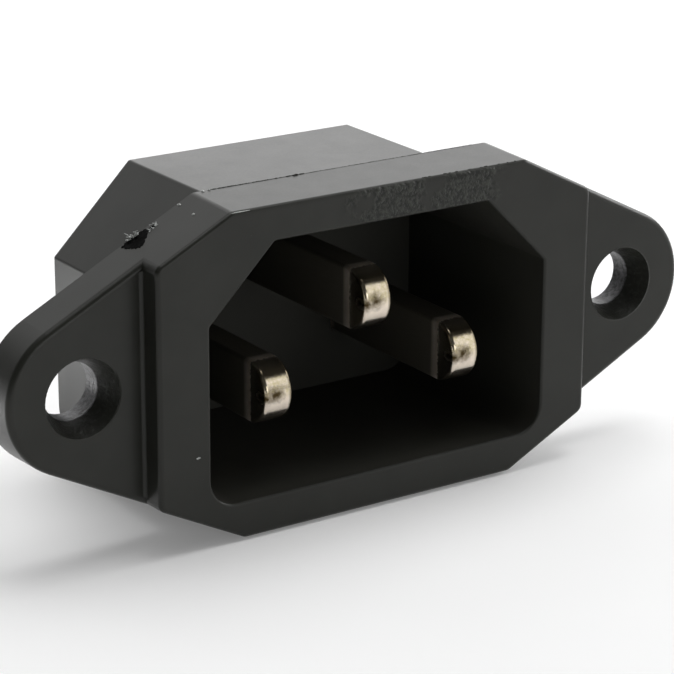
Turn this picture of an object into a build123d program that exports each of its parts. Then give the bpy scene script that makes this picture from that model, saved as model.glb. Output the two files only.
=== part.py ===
from build123d import *
import os
from math import acos, atan2, cos, hypot, radians, sin, sqrt, tan

# Panel inlet socket with three flat pins. X runs along the two screw ears, Z is up and the mouth of the
# socket faces -Y. The origin is midway between the two screw holes, on the face that lies on the panel.
# Lengths are in millimetres and angles in degrees.

# Ears, measured on the panel side
SCREW_SPACING = 40.0
SCREW_HOLE_D = 3.6
SCREW_MOUTH_D = 4.9
SCREW_LAND = 1.3
EAR_R = 4.95
EAR_T = 2.9
EAR_EDGE_R = 0.4

# Cavity that takes the connector
CAVITY_W = 24.7
CAVITY_H = 16.0
CAVITY_DROP = 0.1
CAVITY_DEPTH = 14.8
CAVITY_CHAMFER = 4.55
CAVITY_CORNER_R = 1.8
CAVITY_EDGE_R = 0.3
MOUTH_R = 0.2

# Raised frame round the mouth: how far it reaches past the cavity on the panel side, and its cut corners
FRAME_SIDE = 3.7
FRAME_LIP = 2.45
FRAME_CUT = 2.88
FRAME_DROP = 0.1
FRAME_STEP = 1.6
FRAME_CORNER_R = 0.8
FRAME_RIM_R = 0.3
FRAME_FOOT_R = 0.25
DRAFT_ANGLE = 2.0

# Rear body round the cavity
WALL = 1.3
SIDE_WALL = 1.5
FLOOR_T = 1.8
BODY_EDGE_R = 0.25

# Pins
PIN_SPACING = 14.0
PIN_H = 4.0
PIN_T = 2.0
PIN_EDGE_R = 0.25
PIN_DROP = 2.2
PIN_RECESS = 0.9
EARTH_RISE = 4.8
EARTH_RECESS = 0.55
SEAT_GAP = 0.03

# Collar and wiring tab behind each pin
COLLAR_W = 3.0
COLLAR_H = 5.4
COLLAR_T = 0.8
TAB_W = 4.8
TAB_T = 0.8
TAB_L = 7.0
TAB_HOLE_D = 1.4
TAB_HOLE_INSET = 2.8
TAB_TIP_CHAMFER = 0.9

# Worked out from the sizes above
RIM_DEPTH = EAR_T + FRAME_STEP
FLOOR_Y = CAVITY_DEPTH - RIM_DEPTH
BODY_DEPTH = FLOOR_Y + FLOOR_T
COLLAR_Y = BODY_DEPTH - COLLAR_T
PIN_Z = -CAVITY_DROP - PIN_DROP
EARTH_Z = PIN_Z + EARTH_RISE
BODY_CHAMFER = CAVITY_CHAMFER + SIDE_WALL - WALL * (sqrt(2) - 1)
FRAME_HALF_W = CAVITY_W / 2 + FRAME_SIDE
FRAME_HALF_H = CAVITY_H / 2 + FRAME_LIP
FRAME_TOP = FRAME_HALF_H - CAVITY_DROP - FRAME_DROP
FRAME_BOTTOM = -FRAME_HALF_H - CAVITY_DROP - FRAME_DROP
CORNER_Z = FRAME_HALF_H - FRAME_CUT


def slope_angle():
    """Angle of the line that runs from the frame's side corner and just touches the round end of the ear."""
    along = SCREW_SPACING / 2 - FRAME_HALF_W
    return acos(EAR_R / hypot(along, CORNER_Z)) - atan2(along, CORNER_Z)


SLOPE = slope_angle()


def slope_x(z):
    """Where the slope towards the right screw is at height z."""
    return SCREW_SPACING / 2 + (EAR_R - abs(z) * cos(SLOPE)) / sin(SLOPE)


def in_front(distance):
    """Sketch plane parallel to the panel, this far in front of the face that lies on it."""
    return Plane.XZ.offset(distance)


def mirrored(right_half):
    """Closed outline from the corners of its right half, listed from the bottom up."""
    left_half = [(-x, z) for x, z in reversed(right_half)]
    return Polygon(*right_half, *left_half, align=None)


def plate_outline():
    """Diamond-shaped plate: its slopes run into a round end about each screw."""
    touch_x = SCREW_SPACING / 2 + EAR_R * sin(SLOPE)
    touch_z = EAR_R * cos(SLOPE)
    diamond = mirrored([
        (slope_x(FRAME_BOTTOM), FRAME_BOTTOM),
        (touch_x, -touch_z),
        (touch_x, touch_z),
        (slope_x(FRAME_TOP), FRAME_TOP),
    ])
    rows = diamond.vertices().group_by(Axis.Y)
    diamond = fillet(rows[0] + rows[-1], FRAME_CORNER_R)
    return diamond + GridLocations(SCREW_SPACING, 0, 2, 1) * Circle(EAR_R)


def frame_outline():
    """The same plate, cut off at the frame's two sides."""
    outline = mirrored([
        (slope_x(FRAME_BOTTOM), FRAME_BOTTOM),
        (FRAME_HALF_W, -CORNER_Z),
        (FRAME_HALF_W, CORNER_Z),
        (slope_x(FRAME_TOP), FRAME_TOP),
    ])
    return fillet(outline.vertices(), FRAME_CORNER_R)


def socket_outline(grow_side, grow, chamfer_leg, bottom_r, edge_r):
    """Section of the cavity, or of the body round it: its top corners are cut off, its bottom ones round."""
    half = CAVITY_W / 2 + grow_side
    top = CAVITY_H / 2 + grow - CAVITY_DROP
    bottom = -CAVITY_H / 2 - grow - CAVITY_DROP
    outline = mirrored([(half, bottom), (half, top - chamfer_leg), (half - chamfer_leg, top)])
    outline = fillet(outline.vertices().group_by(Axis.Y)[0], bottom_r)
    rows = outline.vertices().group_by(Axis.Y)
    return fillet(rows[-1] + rows[-2], edge_r)


def ear_plate():
    plate = extrude(in_front(0) * plate_outline(), EAR_T, taper=DRAFT_ANGLE)
    front = plate.faces().sort_by(Axis.Y)[0]
    return fillet(front.edges(), EAR_EDGE_R)


def frame():
    raised = extrude(in_front(0) * frame_outline(), RIM_DEPTH, taper=DRAFT_ANGLE)
    rim = raised.faces().sort_by(Axis.Y)[0]
    return fillet(rim.edges(), FRAME_RIM_R)


def rear_body():
    outline = socket_outline(SIDE_WALL, WALL, BODY_CHAMFER, CAVITY_CORNER_R + WALL, BODY_EDGE_R)
    body = extrude(in_front(0) * outline, -BODY_DEPTH)
    back = body.faces().sort_by(Axis.Y)[-1]
    return fillet(back.edges(), BODY_EDGE_R)


def cavity():
    outline = socket_outline(0, 0, CAVITY_CHAMFER, CAVITY_CORNER_R, CAVITY_EDGE_R)
    return extrude(in_front(RIM_DEPTH) * outline, -CAVITY_DEPTH)


def screw_hole():
    """Straight hole with a cone that opens towards the screw's head."""
    upwards = (Align.CENTER, Align.CENTER, Align.MIN)
    straight = Cylinder(SCREW_HOLE_D / 2, SCREW_LAND, align=upwards)
    cone = Cone(SCREW_HOLE_D / 2, SCREW_MOUTH_D / 2, EAR_T - SCREW_LAND, align=upwards)
    return straight + Pos(0, 0, SCREW_LAND) * cone


def terminal_places():
    """Centre of each pin in the front view, and how far its tip lies behind the rim."""
    return {
        "left_terminal": (-PIN_SPACING / 2, PIN_Z, PIN_RECESS),
        "right_terminal": (PIN_SPACING / 2, PIN_Z, PIN_RECESS),
        "earth_terminal": (0, EARTH_Z, EARTH_RECESS),
    }


def block(width, depth, height, y):
    """Box centred on the Y axis that starts at y and reaches backwards."""
    return Pos(0, y, 0) * Box(width, depth, height, align=(Align.CENTER, Align.MIN, Align.CENTER))


def terminal_seats():
    """Slots through the cavity's floor for the pins, and pockets in the rear face for their collars."""
    play = 2 * SEAT_GAP
    slot = block(PIN_T + play, FLOOR_T, PIN_H + play, FLOOR_Y)
    pocket = block(COLLAR_W + play, COLLAR_T, COLLAR_H + play, COLLAR_Y)
    return [Pos(x, 0, z) * (slot + pocket) for x, z, recess in terminal_places().values()]


def frame_foot(ear_face):
    """Hollow round between the frame's right side and the ear, ending at the edge of the ear's face."""
    lean = tan(radians(DRAFT_ANGLE))
    foot_x = FRAME_HALF_W - EAR_T * lean
    inside_x = foot_x - FRAME_FOOT_R
    front_y = -EAR_T - FRAME_FOOT_R
    side_x = FRAME_HALF_W + front_y * lean
    ear_x = SCREW_SPACING / 2
    section = Polygon(
        (foot_x, -EAR_T), (side_x, front_y), (inside_x, front_y), (inside_x, 0), (ear_x, 0), (ear_x, -EAR_T),
        align=None,
    )
    corner = section.vertices().sort_by_distance((foot_x, -EAR_T))[0]
    strip = extrude(fillet(corner, FRAME_FOOT_R), CORNER_Z, both=True)
    return strip & extrude(ear_face, FRAME_FOOT_R)


def flange():
    """Ears and frame in one."""
    ears = ear_plate()
    ear_face = ears.faces().sort_by(Axis.Y)[0]
    foot = frame_foot(ear_face)
    return ears + frame() + foot + mirror(foot, Plane.YZ)


def housing():
    shell = flange() + rear_body() - cavity()
    rim = shell.faces().sort_by(Axis.Y)[0]
    shell = fillet(rim.inner_wires()[0].edges(), MOUTH_R)
    for x in (-SCREW_SPACING / 2, SCREW_SPACING / 2):
        shell -= Pos(x, 0, 0) * in_front(0) * screw_hole()
    for seat in terminal_seats():
        shell -= seat
    return shell


def pin(tip_y):
    """Flat pin whose nose is a half circle in side view, with its long edges eased."""
    nose_y = tip_y + PIN_H / 2
    shank = Pos((nose_y + COLLAR_Y) / 2, 0) * Rectangle(COLLAR_Y - nose_y, PIN_H)
    side_view = shank + Pos(nose_y, 0) * Circle(PIN_H / 2)
    blade = extrude(Plane.YZ * side_view, PIN_T / 2, both=True)
    outer_edges = blade.faces().filter_by(Axis.X).edges()
    return fillet(outer_edges.group_by(Axis.Y)[:-1], PIN_EDGE_R)


def wiring_tab():
    """Thin tab with a round hole and a cut-off tip, for a push-on or soldered wire."""
    plate = Rectangle(TAB_L, TAB_W, align=(Align.MIN, Align.CENTER))
    tip = plate.vertices().group_by(Axis.X)[-1]
    plate = chamfer(tip, TAB_TIP_CHAMFER)
    plate -= Pos(TAB_L - TAB_HOLE_INSET, 0) * Circle(TAB_HOLE_D / 2)
    return extrude(Plane.YZ * plate, TAB_T / 2, both=True)


def terminal(recess):
    """Pin, collar and tab in one piece of metal, with the pin's axis on X = Z = 0."""
    collar = block(COLLAR_W, COLLAR_T, COLLAR_H, COLLAR_Y)
    return pin(recess - RIM_DEPTH) + collar + Pos(0, BODY_DEPTH, 0) * wiring_tab()


def main():
    os.makedirs("parts", exist_ok=True)
    export_step(housing(), "parts/housing.step")
    for name, (x, z, recess) in terminal_places().items():
        export_step(Pos(x, 0, z) * terminal(recess), f"parts/{name}.step")


main()
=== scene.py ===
import math
import random

import bmesh
import bpy
from mathutils import Matrix, Vector
from mathutils.bvhtree import BVHTree


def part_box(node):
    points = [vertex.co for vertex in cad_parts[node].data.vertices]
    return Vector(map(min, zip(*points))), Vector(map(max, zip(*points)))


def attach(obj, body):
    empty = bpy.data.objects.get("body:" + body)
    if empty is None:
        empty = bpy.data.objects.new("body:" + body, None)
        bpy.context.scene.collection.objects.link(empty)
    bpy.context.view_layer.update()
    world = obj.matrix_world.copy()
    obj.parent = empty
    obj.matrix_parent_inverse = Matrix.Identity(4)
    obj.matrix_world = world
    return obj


# Looks of a panel inlet socket: black moulded plastic round three plated pins, on a white table.
# Places on the part, sizes of small pieces and lengths in the materials are in millimetres, other
# lengths in metres. Colours are red, green and blue. PER_MM says how fine a pattern is, and LIMITS
# which range of its values is stretched to 0..1, or to the range called SHARE.

MM = 0.001

# Camera, as solved from the photograph
CAMERA_TARGET = Vector((-3.442, -4.5, 1.149)) * MM
CAMERA_DISTANCE = 160.911 * MM
CAMERA_AZIMUTH = -33.890
CAMERA_ELEVATION = 18.907
CAMERA_ROLL = 0.265
CAMERA_SENSOR = 36.0
CAMERA_LENS = 142.37
CAMERA_CLIP = 0.005

# Table
FLOOR_SIZE = 1.6
FLOOR_CELLS = 8
FLOOR_DARK = (0.94, 0.94, 0.94)
FLOOR_PALE = (0.96, 0.96, 0.96)
FLOOR_PER_MM = 0.05
FLOOR_OWN_WHITE = 0.15

# Card that stands round the camera's side of the part
CARD_DISTANCE = 0.9
CARD_AZIMUTHS = range(-150, 131, 10)
CARD_ELEVATIONS = range(1, 67, 5)
FELT_DARK = (0.07, 0.07, 0.07)
FELT_PALE = (0.09, 0.09, 0.09)
FELT_PER_MM = 0.5

# Light of the room, and lamps: name, azimuth, elevation, distance, width, height and brightness
WHITE = (1.0, 1.0, 1.0)
FILL_LIGHT = 1.0
LAMP_POWER = 4
LAMPS = (
    ("overhead", 115, 78, 0.7, 0.45, 0.45, 2.6),
    ("window", 52, 20.5, 0.6, 0.5, 0.46, 0.85),
    ("front", 5, 11, 0.6, 0.3, 0.2, 1.8),
    ("side", 95, 26, 0.6, 0.4, 0.3, 4.2),
    ("backdrop", 150, 15, 0.8, 0.9, 0.38, 0.75),
)

# Place on the table behind the part, to the left, that has its own light and shows in the body's side
GLOW_PLACE = Vector((-36, 34, -10)) * MM
GLOW_HEIGHT = 0.12
GLOW_ANGLE = 22.0
GLOW_LAMP_R = 0.01
GLOW_POWER = 1.9

# Range that most values of a noise pattern lie in
NOISE_LIMITS = (0.3, 0.7)

# Plastic of the moulding, with fine grain and a little dust
PLASTIC_DARK = (0.0150, 0.0155, 0.0125)
PLASTIC_LIGHT = (0.0200, 0.0206, 0.0172)
PLASTIC_PER_MM = 0.35
PLASTIC_GLOSS = 0.25
PLASTIC_ROUGH = (0.30, 0.33)
ROUGH_PER_MM = 0.6
GRAIN_PER_MM = 8.0
GRAIN_ROUGH = (-0.02, 0.02)
GRAIN_DEPTH = 0.003
DUST = (0.16, 0.155, 0.145)
DUST_PER_MM = 9.0
DUST_LIMITS = (0.78, 0.83)
DUST_SHARE = (0.0, 0.25)

# Two scuffed patches on the front of the frame, above the mouth: ranges in X, lowest Z and range in Y
SCUFF_LEFT = (-1.6, 2.6)
SCUFF_RIGHT = (4.2, 8.8)
SCUFF_LOWEST = 7.8
SCUFF_FADE = 0.3
SCUFF_FRONT = (-4.48, -4.30)
SCUFF_SOFT = 0.5
SCUFF_RAGGED = (-1.2, 1.2)
RAGGED_PER_MM = 0.8
SCUFF_DARK = (0.0060, 0.0065, 0.0050)
SCUFF_LIGHT = (0.0300, 0.0325, 0.0260)
SCUFF_PER_MM = 2.9
SCUFF_LIMITS = (0.38, 0.64)
SCUFF_DEPTH = 0.035

# Box that holds the cavity, which is duller than the outside, and how far out its cut top corners reach. The
# cavity's paler colour is painted light that lifts its dim inside
CAVITY_LOWEST = (-12.4, -4.3, -8.15)
CAVITY_HIGHEST = (12.4, 10.35, 7.95)
CAVITY_SOFT = 0.02
CAVITY_CUT = 15.85
CAVITY_CUT_SOFT = 0.1
CAVITY_PAINTED_LIGHT = (0.0240, 0.0236, 0.0190)
CAVITY_ROUGH = 0.3

# Screw holes, grainy in the cone and paler in the straight part, which is the land. Their pale colours are
# painted light that brightens the holes; the cone's grain is also a bump
HOLE_X = 20.0
HOLE_PER_MM = 3.2
CONE_R = 2.45
CONE_SOFT = 0.1
CONE_PAINTED_LIGHT = (0.060, 0.062, 0.056)
CONE_LIMITS = (0.50, 0.75)
CONE_SHARE = (0.0, 0.5)
CONE_DEPTH = 0.06
LAND_R = 1.82
LAND_SOFT = 0.03
LAND_PAINTED_LIGHT = (0.150, 0.150, 0.158)
LAND_LIMITS = (0.30, 0.65)

# Torn plastic. The near-black colour of the nicks is painted shade of their torn hollows; the pale colour is
# torn fibre, and also a painted highlight along the frame's front edge
NICK_PAINTED_SHADE = (0.0015, 0.0015, 0.0013)
NICK_SHADE_GLOSS = 0.05
TORN_PALE_AND_HIGHLIGHT = (0.60, 0.62, 0.60)
TORN_PALE_AND_HIGHLIGHT_GLOSS = 0.3
TORN_PER_MM = 14.0
TORN_LIMITS = (0.35, 0.65)
TORN_SHADE = 0.45
TORN_DEPTH = 0.03
TORN_ROUGH = 0.8

# Plating of the pins. Places on a pin are measured from its middle and from its tip.
PLATING_PALE = (0.78, 0.69, 0.59)
PLATING_WARM = (0.70, 0.61, 0.51)
TARNISH_PER_MM = 1.3
TARNISH_LIMITS = (0.40, 0.68)
PLATING_ROUGH = (0.16, 0.22)
MARKS_STRETCH = (6.0, 0.8, 9.0)
MARKS_DEPTH = 0.002
NOSE_END = (0.7, 1.2)

# Brown mottles on the upper half of each nose
MOTTLED = (0.54, 0.47, 0.29)
MOTTLES_PER_MM = 4.0
MOTTLES_LIMITS = (0.36, 0.66)
MOTTLES_SHARE = (0.3, 1.0)
UPPER_HALF = (-0.30, 0.30)

# Dark blot on each nose, partly worn plating and partly a painted dark reflection: middle and half size of
# the blot, and of its tail to the left edge
BLOT = (-0.22, 0.17, 0.62, 0.52)
TAIL = (-0.92, 0.02, 0.75, 0.42)
BLOT_FADE = (0.15, 1.30)
BLOT_WEAR_AND_REFLECTION = (0.055, 0.038, 0.016)
NOSE_RAGGED_PER_MM = 3.0
NOSE_RAGGED = (-0.35, 0.35)
BLOT_ROUGH = 0.2

# Painted shade along the right edge of each nose and on its top, standing in for the dark reflections there,
# with how much the ragged pattern moves its border
NOSE_PAINTED_SHADE = (0.18, 0.15, 0.10)
SHADE_EDGE = (0.66, 0.84)
SHADE_EDGE_RAGGED = 0.08
SHADE_TOP = (1.15, 1.35)
SHADE_TOP_RAGGED = 0.3

# The pins are painted dark and dull from behind their noses to the cavity's floor: painted shade of the deep
# cavity
SHANK_PAINTED_SHADE = (0.050, 0.045, 0.034)
SHANK_FROM = 2.0
SHANK_END_Y = 10.3
SHANK_SOFT = 0.5
SHANK_ROUGH = 0.4
SHANK_METALLIC = 0.3

# Moulding flash along the back edge of the flange's top, with its crest between two shares of its base
FLASH_SEED = 4
FLASH_X = (-9.6, 9.8)
FLASH_BOLD_TO = -2.9
FLASH_BOLD_H = 0.036
FLASH_FAINT_H = 0.018
FLASH_RAGGED = (0.4, 1.3)
FLASH_LEAN = (-0.01, 0.01)
FLASH_STEP = 0.08
FLASH_BASE = 0.05
FLASH_CREST = (0.6, 0.2)
FLASH_SUNK = 0.02
FLASH_SPECK_X = -3.5
FLASH_SPECK_SIZE = (0.60, 0.12, 0.17)

# Dark burrs on the front edge of the frame's top: place of the first, step, and ranges of their sizes
BURRS_SEED = 19
BURRS = 11
BURR_FIRST_X = 3.0
BURR_STEP = 0.68
BURR_WANDER = (-0.3, 0.3)
BURR_Y = -4.25
BURR_SIZES = ((0.12, 0.45), (0.06, 0.13), (0.02, 0.08))
BURR_UP = Vector((0, -0.5, 0.87))

# Outlines of the two torn nicks on the left slope, from above
NICKS = (
    (
        (-14.06, -0.14), (-14.10, -0.50), (-14.42, -0.86), (-14.75, -1.22), (-15.15, -1.45), (-15.42, -1.10),
        (-15.62, -0.69), (-15.72, -0.10), (-15.20, -0.03), (-14.70, -0.02), (-14.35, -0.03),
    ),
    ((-13.62, -0.30), (-13.72, -0.50), (-13.92, -0.52), (-13.95, -0.36), (-13.80, -0.26)),
)
NICKS_SEED = 7
NICK_WANDER = 0.06
NICK_CUTS = (0.0, 0.2, 0.4, 0.6, 0.8)
NICK_BACK_Y = -0.015
NICK_RAGGED = (0.6, 1.3)

# Rings of a nick, from its rim inwards: share of the outline's size, and height
NICK_RINGS = ((1.04, -0.02), (1.0, 0.02), (0.85, 0.012), (0.5, 0.010), (0.2, 0.008))

# Where pale threads stand up beside the nicks: range in X, range in Y, how many, and how steeply they rise
FRAYED = (
    ((-15.30, -14.55), (-0.10, -0.02), 16, 1.0),
    ((-14.15, -13.60), (-0.66, -0.52), 7, 0.35),
    ((-13.66, -13.40), (-0.55, -0.25), 6, 0.45),
)
FRAY_SEED = 11
THREAD_LENGTH = (0.18, 0.50)
THREAD_R = (0.03, 0.06)
THREAD_CUTS = (0.0, 0.3, 0.6, 1.0)
THREAD_SIDES = 6

# Share of its thickness that a thread keeps at its ends
THREAD_END = 0.25

# Ranges of a thread's direction, and how it bends away from it
THREAD_WAY_X = (-1, 1)
THREAD_WAY_Y = (-0.4, 0.6)
THREAD_WAY_Z = (0.2, 1.0)
THREAD_BEND_X = (-0.5, 0.5)
THREAD_BEND_Y = (-0.25, 0.25)
THREAD_BEND_Z = -0.15

# Pale crumbs by the nicks and along the edge beside them: X, Y, length and width
CRUMBS = (
    (-10.12, -0.10, 0.24, 0.18), (-9.66, -0.08, 0.22, 0.12), (-11.82, -0.21, 0.34, 0.14),
    (-11.92, -2.03, 0.19, 0.15), (-14.90, -0.06, 0.18, 0.14), (-13.62, -0.50, 0.16, 0.12),
)
CRUMB_ALONG = Vector((0.3, -1, 0.2))
CRUMB_H = 0.14
CRUMB_RAGGED = (0.75, 1.25)

# Pale speck on the front of the frame, left of the mouth: X and Z, direction and size
SPECK = (-13.27, -4.6)
SPECK_ALONG = Vector((1, 0, 0.1))
SPECK_SIZE = (0.28, 0.13, 0.06)

# Pale strand along the left end of the frame's front top edge: a painted highlight on the edge
EDGE_HIGHLIGHT_X = (-10.75, -10.55, -10.3, -10.05, -9.8, -9.5)
EDGE_HIGHLIGHT_Y = -4.38
EDGE_HIGHLIGHT_R = 0.032

# Distance outside the part from which its surface is looked for
FAR = 30

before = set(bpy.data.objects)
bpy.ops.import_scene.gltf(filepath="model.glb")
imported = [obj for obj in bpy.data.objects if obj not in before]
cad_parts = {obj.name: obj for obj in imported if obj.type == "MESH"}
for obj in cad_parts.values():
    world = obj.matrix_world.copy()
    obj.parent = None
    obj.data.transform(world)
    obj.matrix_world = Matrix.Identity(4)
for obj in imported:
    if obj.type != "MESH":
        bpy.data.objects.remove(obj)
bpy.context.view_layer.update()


def direction(azimuth, elevation):
    """Unit vector towards a place round the object: azimuth 0 is in front, -Y, and 90 is +X."""
    around, up = math.radians(azimuth), math.radians(elevation)
    return Vector((math.sin(around) * math.cos(up), -math.cos(around) * math.cos(up), math.sin(up)))


def link_object(name, data):
    made = bpy.data.objects.new(name, data)
    bpy.context.scene.collection.objects.link(made)
    return made


class Tree:
    """Short calls for building a node tree."""

    def __init__(self, tree):
        self.tree = tree
        tree.nodes.clear()

    def add(self, kind, **values):
        """Adds a node. A value named after an input sets or links it, any other name sets a property."""
        node = self.tree.nodes.new(kind)
        inputs = {}
        for name, value in values.items():
            if hasattr(node, name):
                setattr(node, name, value)
            else:
                inputs[name] = value
        for name, value in inputs.items():
            self.feed(node, name.replace("_", " "), value)
        return node

    def feed(self, node, name, value):
        """Sets or links an input, given by its name, or by in and its number."""
        numbered = name.startswith("in") and name[2:].isdigit()
        socket = node.inputs[int(name[2:]) if numbered else name]
        if isinstance(value, bpy.types.NodeSocket):
            self.tree.links.new(value, socket)
        elif socket.type == "RGBA":
            socket.default_value = (*value, 1.0)
        else:
            socket.default_value = value

    def maths(self, operation, a, b=0.0):
        return self.add("ShaderNodeMath", operation=operation, in0=a, in1=b).outputs[0]

    def plus(self, a, b):
        return self.maths("ADD", a, b)

    def minus(self, a, b):
        return self.maths("SUBTRACT", a, b)

    def times(self, a, b):
        return self.maths("MULTIPLY", a, b)

    def larger(self, a, b):
        return self.maths("MAXIMUM", a, b)

    def size(self, a):
        return self.maths("ABSOLUTE", a)

    def reach(self, a, b):
        """Length of the vector with these two parts."""
        return self.maths("SQRT", self.plus(self.times(a, a), self.times(b, b)))

    def spread(self, value, low, high, to_low=0.0, to_high=1.0):
        """Stretches the range low..high to to_low..to_high, and holds what lies outside."""
        node = self.add("ShaderNodeMapRange", Value=value)
        for index, number in enumerate((low, high, to_low, to_high), 1):
            node.inputs[index].default_value = number
        return node.outputs[0]

    def below(self, value, limit, soft):
        """1 up to the limit, 0 from the limit and soft on."""
        return self.spread(value, limit, limit + soft, 1.0, 0.0)

    def band(self, value, low, high, soft):
        """1 between low and high, 0 outside, with soft ends."""
        rise = self.spread(value, low - soft, low + soft)
        fall = self.spread(value, high - soft, high + soft, 1.0, 0.0)
        return self.times(rise, fall)

    def noise(self, place, per_mm, detail=2.0, roughness=0.5):
        node = self.add("ShaderNodeTexNoise", Vector=place, Scale=per_mm, Detail=detail, Roughness=roughness)
        return node.outputs["Fac"]

    def pattern(self, place, per_mm, limits=NOISE_LIMITS, values=(0.0, 1.0), **kind):
        """Noise with its limits stretched to the values."""
        return self.spread(self.noise(place, per_mm, **kind), *limits, *values)

    def mix(self, share, a, b):
        node = self.add("ShaderNodeMix", data_type="RGBA", in0=share, in6=a, in7=b)
        return node.outputs[2]

    def place_mm(self):
        """Place on the part in millimetres."""
        where = self.add("ShaderNodeTexCoord").outputs["Object"]
        return self.add("ShaderNodeVectorMath", operation="SCALE", in0=where, Scale=1 / MM).outputs[0]

    def split(self, place):
        return self.add("ShaderNodeSeparateXYZ", Vector=place).outputs

    def bump(self, height, depth_mm, strength, before=None):
        node = self.add("ShaderNodeBump", Height=height, Distance=depth_mm * MM, Strength=strength)
        if before is not None:
            self.feed(node, "Normal", before)
        return node.outputs[0]


def new_material(name):
    material = bpy.data.materials.new(name)
    material.use_nodes = True
    return material, Tree(material.node_tree)


def finish_material(tree, shader):
    tree.add("ShaderNodeOutputMaterial", Surface=shader.outputs[0])


def scuffs(tree, place):
    """Mask of the scuffed patches, with ragged ends, and the short wriggling marks in them."""
    x, y, z = tree.split(place)
    ragged = tree.plus(x, tree.pattern(place, RAGGED_PER_MM, values=SCUFF_RAGGED))
    left = tree.band(ragged, *SCUFF_LEFT, SCUFF_SOFT)
    right = tree.band(ragged, *SCUFF_RIGHT, SCUFF_SOFT)
    patches = tree.larger(left, right)
    patches = tree.times(patches, tree.spread(z, SCUFF_LOWEST, SCUFF_LOWEST + SCUFF_FADE))
    patches = tree.times(patches, tree.spread(y, *SCUFF_FRONT, 1.0, 0.0))
    marks = tree.pattern(place, SCUFF_PER_MM, SCUFF_LIMITS, roughness=0.6)
    return patches, marks


def inside_cavity(tree, place):
    """1 on the cavity's walls and floor, 0 elsewhere."""
    x, y, z = tree.split(place)
    mask = tree.below(tree.plus(tree.size(x), z), CAVITY_CUT, CAVITY_CUT_SOFT)
    for part, low, high in zip((x, y, z), CAVITY_LOWEST, CAVITY_HIGHEST):
        mask = tree.times(mask, tree.band(part, low, high, CAVITY_SOFT))
    return mask


def hole_masks(tree, place):
    """Grainy masks of the screw holes: of their cones and all inside them, and of their lands. They place
    the cone's bump and the painted light in the holes.
    """
    x, y, z = tree.split(place)
    reach = tree.reach(tree.minus(tree.size(x), HOLE_X), z)
    coarse = tree.noise(place, HOLE_PER_MM, detail=4.0, roughness=0.7)
    cone = tree.times(tree.below(reach, CONE_R, CONE_SOFT), coarse)
    land = tree.times(tree.below(reach, LAND_R, LAND_SOFT), coarse)
    return cone, land


def plastic_material():
    """Black moulded plastic: fine grain, scuffs above the mouth, a duller cavity and grainy screw holes."""
    material, tree = new_material("moulded_plastic")
    place = tree.place_mm()
    patches, marks = scuffs(tree, place)
    inside = inside_cavity(tree, place)
    cone, land = hole_masks(tree, place)
    grain = tree.noise(place, GRAIN_PER_MM, detail=3.0, roughness=0.6)

    base = tree.mix(tree.pattern(place, PLASTIC_PER_MM, detail=3.0), PLASTIC_DARK, PLASTIC_LIGHT)
    dust = tree.pattern(place, DUST_PER_MM, DUST_LIMITS, DUST_SHARE, detail=1.0)
    base = tree.mix(dust, base, DUST)
    base = tree.mix(patches, base, tree.mix(marks, SCUFF_DARK, SCUFF_LIGHT))
    # Paler colour in the cavity: painted light lifting its dim walls and floor
    base = tree.mix(inside, base, CAVITY_PAINTED_LIGHT)
    # Pale grainy cone and land: painted light in the screw holes
    base = tree.mix(tree.spread(cone, *CONE_LIMITS, *CONE_SHARE), base, CONE_PAINTED_LIGHT)
    base = tree.mix(tree.spread(land, *LAND_LIMITS), base, LAND_PAINTED_LIGHT)

    rough = tree.pattern(place, ROUGH_PER_MM, values=PLASTIC_ROUGH)
    rough = tree.plus(rough, tree.spread(grain, *NOISE_LIMITS, *GRAIN_ROUGH))
    rough = tree.plus(rough, tree.times(inside, CAVITY_ROUGH))

    normal = tree.bump(grain, GRAIN_DEPTH, strength=0.5)
    normal = tree.bump(cone, CONE_DEPTH, strength=0.8, before=normal)
    normal = tree.bump(tree.times(marks, patches), SCUFF_DEPTH, strength=1.0, before=normal)
    shader = tree.add("ShaderNodeBsdfPrincipled", Base_Color=base, Roughness=rough, Normal=normal,
                      Specular_IOR_Level=PLASTIC_GLOSS)
    finish_material(tree, shader)
    return material


def torn_and_painted_material(name, base_colour, gloss):
    """Rough, streaky plastic in the given colour, for torn plastic and for the painted shade and painted
    highlight laid on the part.
    """
    material, tree = new_material(name)
    streaks = tree.noise(tree.place_mm(), TORN_PER_MM, detail=3.0, roughness=0.7)
    darker = tuple(value * TORN_SHADE for value in base_colour)
    base = tree.mix(tree.spread(streaks, *TORN_LIMITS), darker, base_colour)
    normal = tree.bump(streaks, TORN_DEPTH, strength=0.9)
    shader = tree.add("ShaderNodeBsdfPrincipled", Base_Color=base, Roughness=TORN_ROUGH, Normal=normal,
                      Specular_IOR_Level=gloss)
    finish_material(tree, shader)
    return material


def blot(tree, across, upright, shape, ragged):
    """Soft ragged mask round a place on the pin's nose: shape is its middle and half size."""
    x, z, half_w, half_h = shape
    aside = tree.maths("DIVIDE", tree.minus(across, x), half_w)
    above = tree.maths("DIVIDE", tree.minus(upright, z), half_h)
    return tree.spread(tree.plus(tree.reach(aside, above), ragged), *BLOT_FADE, 1.0, 0.0)


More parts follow.
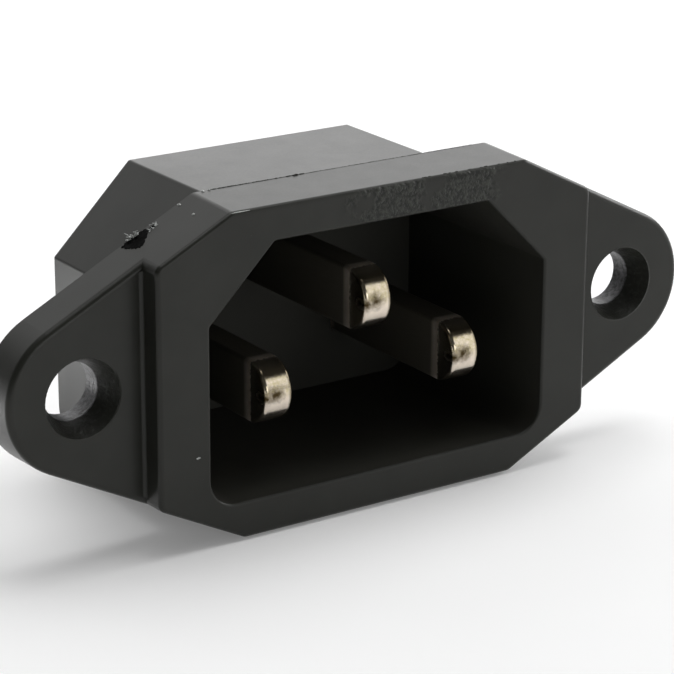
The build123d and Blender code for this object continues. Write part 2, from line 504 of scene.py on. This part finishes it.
def metal_material(name):
    """Plated pin: pale at the nose with a dark blot that is partly wear and partly painted reflection,
    mottles, and painted shade on its right edge and top; painted dark and dull further in, as painted shade
    of the cavity.
    """
    material, tree = new_material(name + "_plating")
    lowest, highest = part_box(name)
    middle = (lowest + highest) / 2 / MM
    place = tree.place_mm()
    x, y, z = tree.split(place)
    across = tree.minus(x, middle.x)
    upright = tree.minus(z, middle.z)
    depth = tree.minus(y, lowest.y / MM)
    ragged = tree.pattern(place, NOSE_RAGGED_PER_MM, values=NOSE_RAGGED, detail=5.0, roughness=0.75)
    nose = tree.spread(depth, *NOSE_END, 1.0, 0.0)
    shank = tree.band(depth, SHANK_FROM, SHANK_END_Y - lowest.y / MM, SHANK_SOFT)
    blots = [blot(tree, across, upright, shape, ragged) for shape in (BLOT, TAIL)]
    blot_wear_and_reflection = tree.times(tree.larger(*blots), nose)

    tarnish = tree.pattern(place, TARNISH_PER_MM, TARNISH_LIMITS, detail=3.0, roughness=0.65)
    base = tree.mix(tarnish, PLATING_PALE, PLATING_WARM)
    mottles = tree.pattern(place, MOTTLES_PER_MM, MOTTLES_LIMITS, MOTTLES_SHARE, detail=3.0, roughness=0.7)
    upper = tree.times(tree.spread(upright, *UPPER_HALF), tree.times(mottles, nose))
    base = tree.mix(upper, base, MOTTLED)
    # Dark blot on the nose: partly wear, partly painted dark reflection
    base = tree.mix(blot_wear_and_reflection, base, BLOT_WEAR_AND_REFLECTION)
    # Darker right edge and top of the nose: painted shade
    edge = tree.spread(tree.plus(across, tree.times(ragged, SHADE_EDGE_RAGGED)), *SHADE_EDGE)
    top = tree.spread(tree.plus(upright, tree.times(ragged, SHADE_TOP_RAGGED)), *SHADE_TOP)
    base = tree.mix(tree.times(tree.larger(edge, top), nose), base, NOSE_PAINTED_SHADE)
    # Dark, less metallic shank: painted shade inside the cavity
    base = tree.mix(shank, base, SHANK_PAINTED_SHADE)

    stretched = tree.add("ShaderNodeMapping", Vector=place, Scale=MARKS_STRETCH).outputs[0]
    marks = tree.noise(stretched, 1.0)
    rough = tree.plus(tree.spread(marks, *NOISE_LIMITS, *PLATING_ROUGH), tree.times(blot_wear_and_reflection, BLOT_ROUGH))
    rough = tree.plus(rough, tree.times(shank, SHANK_ROUGH))
    bare = tree.spread(shank, 0.0, 1.0, 1.0, SHANK_METALLIC)
    normal = tree.bump(marks, MARKS_DEPTH, strength=0.4)
    shader = tree.add("ShaderNodeBsdfPrincipled", Base_Color=base, Roughness=rough, Normal=normal,
                      Metallic=bare)
    finish_material(tree, shader)
    return material


def seen_directly(tree):
    """1 for rays from the camera, a mirror or a clear piece, and 0 for the light that falls on things."""
    path = tree.add("ShaderNodeLightPath").outputs
    seen = tree.larger(path["Is Camera Ray"], path["Is Glossy Ray"])
    return tree.larger(seen, path["Is Transmission Ray"])


def floor_material():
    """White table that keeps the object's shadow."""
    material, tree = new_material("white_table")
    base = tree.mix(tree.pattern(tree.place_mm(), FLOOR_PER_MM), FLOOR_DARK, FLOOR_PALE)
    lit = tree.add("ShaderNodeBsdfDiffuse", Color=base)
    own = tree.add("ShaderNodeEmission", Color=WHITE, Strength=1.0)
    share = tree.times(seen_directly(tree), FLOOR_OWN_WHITE)
    mixed = tree.add("ShaderNodeMixShader", in0=share, in1=lit.outputs[0], in2=own.outputs[0])
    finish_material(tree, mixed)
    return material


def card_material():
    """Dark felt."""
    material, tree = new_material("dark_felt")
    base = tree.mix(tree.pattern(tree.place_mm(), FELT_PER_MM), FELT_DARK, FELT_PALE)
    finish_material(tree, tree.add("ShaderNodeBsdfDiffuse", Color=base))
    return material


def make_world():
    world = bpy.data.worlds.new("studio")
    bpy.context.scene.world = world
    world.use_nodes = True
    tree = Tree(world.node_tree)
    strength = tree.spread(seen_directly(tree), 0.0, 1.0, FILL_LIGHT, 1.0)
    light = tree.add("ShaderNodeBackground", Color=WHITE, Strength=strength)
    tree.add("ShaderNodeOutputWorld", Surface=light.outputs[0])


def mesh_object(name, shape, material):
    mesh = bpy.data.meshes.new(name)
    shape.to_mesh(mesh)
    shape.free()
    mesh.materials.append(material)
    return link_object(name, mesh)


def stage_object(name, shape, material):
    made = mesh_object(name, shape, material)
    return made


def make_floor(height):
    shape = bmesh.new()
    bmesh.ops.create_grid(shape, x_segments=FLOOR_CELLS, y_segments=FLOOR_CELLS, size=FLOOR_SIZE)
    bmesh.ops.translate(shape, vec=(0, 0, height), verts=shape.verts)
    stage_object("table", shape, floor_material())


def make_card():
    """Curved dark card that dims most of the room, as the photograph's reflections show."""
    shape = bmesh.new()
    rows = []
    for elevation in CARD_ELEVATIONS:
        places = [direction(azimuth, elevation) * CARD_DISTANCE for azimuth in CARD_AZIMUTHS]
        rows.append([shape.verts.new(place) for place in places])
    for lower, upper in zip(rows, rows[1:]):
        for corners in zip(lower, lower[1:], upper[1:], upper):
            shape.faces.new(corners)
    card = stage_object("card", shape, card_material())
    card.visible_camera = False


def make_camera():
    back = direction(CAMERA_AZIMUTH, CAMERA_ELEVATION)
    right = Vector((0, 0, 1)).cross(back).normalized()
    up = back.cross(right)
    roll = Matrix.Rotation(math.radians(CAMERA_ROLL), 4, "Z")
    turn = Matrix((right, up, back)).transposed().to_4x4() @ roll
    data = bpy.data.cameras.new("camera")
    data.sensor_width = CAMERA_SENSOR
    data.lens = CAMERA_LENS
    data.clip_start = CAMERA_CLIP
    camera = link_object("camera", data)
    camera.matrix_world = Matrix.Translation(CAMERA_TARGET + back * CAMERA_DISTANCE) @ turn
    bpy.context.scene.camera = camera


def make_softbox(name, azimuth, elevation, distance, width, height, brightness):
    """Soft rectangular lamp that faces the object."""
    data = bpy.data.lights.new(name, "AREA")
    data.shape = "RECTANGLE"
    data.size = width
    data.size_y = height
    data.energy = LAMP_POWER * width * height * brightness
    lamp = link_object(name, data)
    towards = direction(azimuth, elevation)
    lamp.location = towards * distance
    lamp.rotation_euler = towards.to_track_quat("Z", "Y").to_euler()
    lamp.visible_camera = False


def make_glow():
    """Small lamp straight above a place on the table that the camera doesn't see."""
    data = bpy.data.lights.new("glow", "SPOT")
    data.spot_size = math.radians(GLOW_ANGLE)
    data.spot_blend = 1.0
    data.shadow_soft_size = GLOW_LAMP_R
    data.energy = GLOW_POWER
    lamp = link_object("glow", data)
    lamp.location = GLOW_PLACE + Vector((0, 0, GLOW_HEIGHT))


def make_lights():
    for lamp in LAMPS:
        make_softbox(*lamp)
    make_glow()
    make_card()


class Surface:
    """The housing's surface, for laying small pieces on it. Its calls take millimetres and give metres."""

    def __init__(self, node):
        mesh = node.data
        faces = [face.vertices for face in mesh.polygons]
        self.tree = BVHTree.FromPolygons([vert.co for vert in mesh.vertices], faces)

    def below(self, x, y):
        """Place and normal under a point, seen from above."""
        return self.tree.ray_cast(Vector((x, y, FAR)) * MM, Vector((0, 0, -1)))[:2]

    def behind(self, x, z):
        """Place and normal behind a point, seen from the mouth's side."""
        return self.tree.ray_cast(Vector((x, -FAR, z)) * MM, Vector((0, 1, 0)))[:2]


def smooth_piece(name, shape, material):
    """Makes the piece, with smooth shading, and fixes it to the part."""
    for face in shape.faces:
        face.smooth = True
    piece = mesh_object(name, shape, material)
    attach(piece, "root")


def add_crumb(shape, place, normal, along, size, chance):
    """Small ragged lump: size is its length, width and height."""
    along = (along - normal * along.dot(normal)).normalized()
    across = normal.cross(along)
    lump = bmesh.ops.create_icosphere(shape, subdivisions=2, radius=0.5 * MM)["verts"]
    for vert in lump:
        spot = vert.co * chance.uniform(*CRUMB_RAGGED)
        vert.co = place + along * spot.x * size[0] + across * spot.y * size[1] + normal * spot.z * size[2]


def bridge(shape, ring, following):
    """Faces between two closed rings of as many points."""
    for index in range(len(ring)):
        beside = (index + 1) % len(ring)
        shape.faces.new((ring[index], ring[beside], following[beside], following[index]))


def add_strand(shape, points, radius):
    """Thin thread through the points, thinning out to its ends."""
    last = len(points) - 1
    rings = []
    for index, point in enumerate(points):
        before, after = points[max(index - 1, 0)], points[min(index + 1, last)]
        forward = (after - before).normalized()
        aside = forward.orthogonal().normalized()
        other = forward.cross(aside)
        thickness = THREAD_END + (1 - THREAD_END) * math.sin(math.pi * (index + 0.5) / (last + 1))
        width = radius * MM * thickness
        ring = []
        for side in range(THREAD_SIDES):
            turn = 2 * math.pi * side / THREAD_SIDES
            ring.append(shape.verts.new(point + (aside * math.cos(turn) + other * math.sin(turn)) * width))
        rings.append(ring)
    for ring, following in zip(rings, rings[1:]):
        bridge(shape, ring, following)


def make_flash(surface, material):
    """Thin ragged fin of moulding flash: bolder at the left end, almost gone at the right."""
    shape = bmesh.new()
    chance = random.Random(FLASH_SEED)
    rows = []
    count = round((FLASH_X[1] - FLASH_X[0]) / FLASH_STEP)
    for index in range(count + 1):
        x = FLASH_X[0] + index * FLASH_STEP
        top = surface.below(x, -FLASH_BASE)[0]
        height = (FLASH_BOLD_H if x < FLASH_BOLD_TO else FLASH_FAINT_H) * chance.uniform(*FLASH_RAGGED)
        lean = chance.uniform(*FLASH_LEAN)
        front, back = (-share * FLASH_BASE + lean for share in FLASH_CREST)
        foot = top.z - FLASH_SUNK * MM
        rows.append([shape.verts.new(place) for place in (
            Vector((top.x, -FLASH_BASE * MM, foot)),
            Vector((top.x, front * MM, top.z + height * MM)),
            Vector((top.x, back * MM, top.z + height * MM)),
            Vector((top.x, 0, foot)),
        )])
    for row, following in zip(rows, rows[1:]):
        for a, b in zip(range(3), range(1, 4)):
            shape.faces.new((row[a], row[b], following[b], following[a]))
    smooth_piece("flash", shape, material)


def ragged_outline(corners, middle, chance):
    """More points along the outline, each moved a little at random."""
    wander = NICK_WANDER * (corners[0] - middle).length
    outline = []
    for corner, following in zip(corners, corners[1:] + corners[:1]):
        for share in NICK_CUTS:
            aside = Vector((chance.gauss(0, 1), chance.gauss(0, 1))) * wander
            outline.append(corner.lerp(following, share) + aside)
    return outline


def add_nick(shape, surface, corners, chance):
    """Torn place: a shallow bowl with a ragged rim, laid on the surface, whose near-black colour is painted
    shade of the torn hollow.
    """
    corners = [Vector(corner) for corner in corners]
    middle = sum(corners, Vector((0, 0))) / len(corners)
    outline = ragged_outline(corners, middle, chance)
    rings = []
    for share, height in NICK_RINGS:
        ring = []
        for spot in outline:
            flat = middle + (spot - middle) * share
            place, normal = surface.below(flat.x, min(flat.y, NICK_BACK_Y))
            ring.append(shape.verts.new(place + normal * height * chance.uniform(*NICK_RAGGED) * MM))
        rings.append(ring)
    for ring, inner in zip(rings, rings[1:]):
        bridge(shape, ring, inner)
    shape.faces.new(rings[-1])


def make_nicks(surface, material):
    shape = bmesh.new()
    chance = random.Random(NICKS_SEED)
    for corners in NICKS:
        add_nick(shape, surface, corners, chance)
    smooth_piece("nicks", shape, material)


def add_thread(shape, surface, range_x, range_y, rise, chance):
    """Short bent thread that stands up from a random place in the ranges."""
    place = surface.below(chance.uniform(*range_x), chance.uniform(*range_y))[0]
    across, out = chance.uniform(*THREAD_WAY_X), chance.uniform(*THREAD_WAY_Y)
    way = Vector((across, out, chance.uniform(*THREAD_WAY_Z) * rise))
    bend = Vector((chance.uniform(*THREAD_BEND_X), chance.uniform(*THREAD_BEND_Y), THREAD_BEND_Z))
    length = chance.uniform(*THREAD_LENGTH) * MM
    points = [place + (way + bend * share) * length * share for share in THREAD_CUTS]
    add_strand(shape, points, chance.uniform(*THREAD_R))


def make_fray(surface, material):
    """Pale threads and crumbs torn up round the nicks and along the edges beside them, a speck, and a pale
    strand on the frame's front top edge that is a painted highlight.
    """
    shape = bmesh.new()
    chance = random.Random(FRAY_SEED)
    for range_x, range_y, count, rise in FRAYED:
        for _ in range(count):
            add_thread(shape, surface, range_x, range_y, rise, chance)
    for x, y, length, width in CRUMBS:
        place, normal = surface.below(x, y)
        add_crumb(shape, place, normal, CRUMB_ALONG, (length, width, CRUMB_H), chance)
    place, normal = surface.behind(*SPECK)
    add_crumb(shape, place, normal, SPECK_ALONG, SPECK_SIZE, chance)
    # Pale strand on the front top edge: painted highlight
    edge = [surface.below(x, EDGE_HIGHLIGHT_Y)[0] for x in EDGE_HIGHLIGHT_X]
    add_strand(shape, edge, EDGE_HIGHLIGHT_R)
    smooth_piece("fray", shape, material)


def make_burrs(surface, material):
    """Ragged dark burrs on the front edge of the frame's top, and one speck on the flash."""
    shape = bmesh.new()
    chance = random.Random(BURRS_SEED)
    along = Vector((1, 0, 0))
    for index in range(BURRS):
        x = BURR_FIRST_X + index * BURR_STEP + chance.uniform(*BURR_WANDER)
        place = surface.below(x, BURR_Y)[0]
        size = [chance.uniform(*limits) for limits in BURR_SIZES]
        add_crumb(shape, place, BURR_UP, along, size, chance)
    place = surface.below(FLASH_SPECK_X, -FLASH_BASE)[0]
    add_crumb(shape, place, Vector((0, 0, 1)), along, FLASH_SPECK_SIZE, chance)
    smooth_piece("burrs", shape, material)


def paint(node, material):
    node.data.materials.clear()
    node.data.materials.append(material)


def main():
    bpy.context.scene.view_settings.view_transform = "Standard"
    make_camera()
    make_world()
    make_lights()
    lowest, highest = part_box("housing")
    make_floor(lowest.z)
    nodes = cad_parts
    plastic = plastic_material()
    paint(nodes["housing"], plastic)
    for name in ("left_terminal", "right_terminal", "earth_terminal"):
        paint(nodes[name], metal_material(name))
    surface = Surface(nodes["housing"])
    make_flash(surface, plastic)
    make_burrs(surface, plastic)
    # Near-black nicks: painted shade of the torn hollows
    make_nicks(surface, torn_and_painted_material("torn_dark", NICK_PAINTED_SHADE, NICK_SHADE_GLOSS))
    # Pale torn threads, crumbs and speck, and the painted highlight on the edge
    make_fray(surface, torn_and_painted_material("torn_pale_and_highlight", TORN_PALE_AND_HIGHLIGHT, TORN_PALE_AND_HIGHLIGHT_GLOSS))


main()
